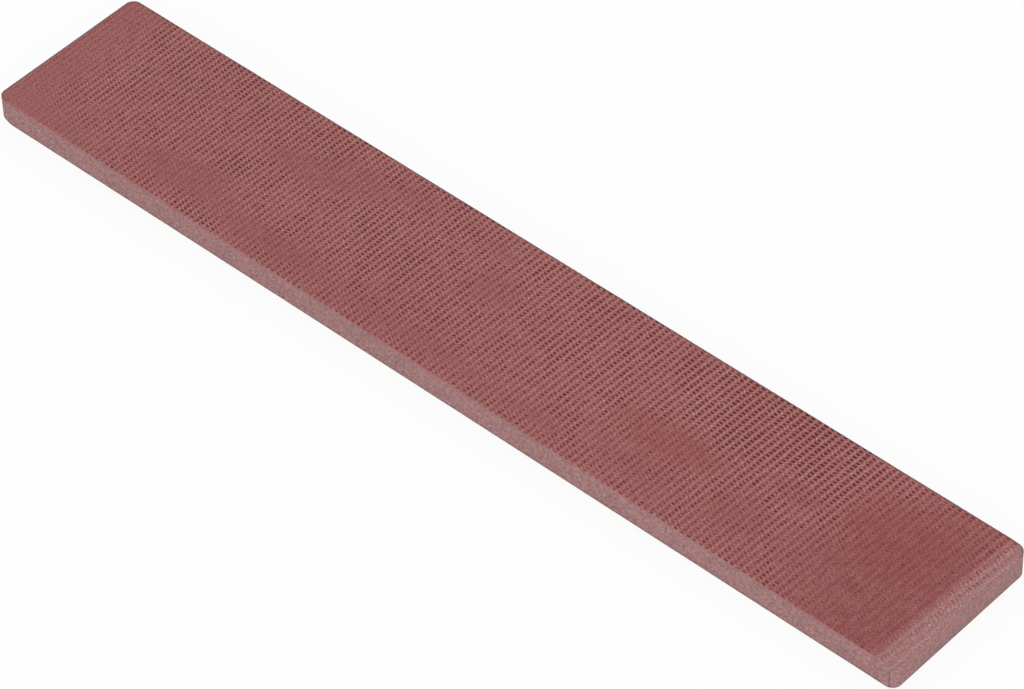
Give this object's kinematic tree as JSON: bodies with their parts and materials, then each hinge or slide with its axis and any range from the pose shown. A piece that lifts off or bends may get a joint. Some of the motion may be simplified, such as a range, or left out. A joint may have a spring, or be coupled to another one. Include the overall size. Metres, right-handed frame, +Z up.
{
  "type": "flat abrasive bar",
  "caption": "Flat rectangular abrasive hand bar with cloth-textured working faces and small rounded corners, rubbed over wood like a rasp or a file.",
  "frame": {"origin": "middle of the lower working face, on the surface that the bar lies on", "axes": "+X along the bar's length towards its eased end, +Y across its width, +Z up through its thickness"},
  "size_m": [0.15, 0.025, 0.004],
  "materials": {
    "abrasive_facing": "matte",
    "bond": "matte",
    "core": "matte"
  },
  "bodies": {
    "root": {"lower_abrasive_facing": "abrasive_facing", "lower_bond_layer": "bond", "core_bar": "core", "upper_bond_layer": "bond", "upper_abrasive_facing": "abrasive_facing"}
  },
  "joints": []
}
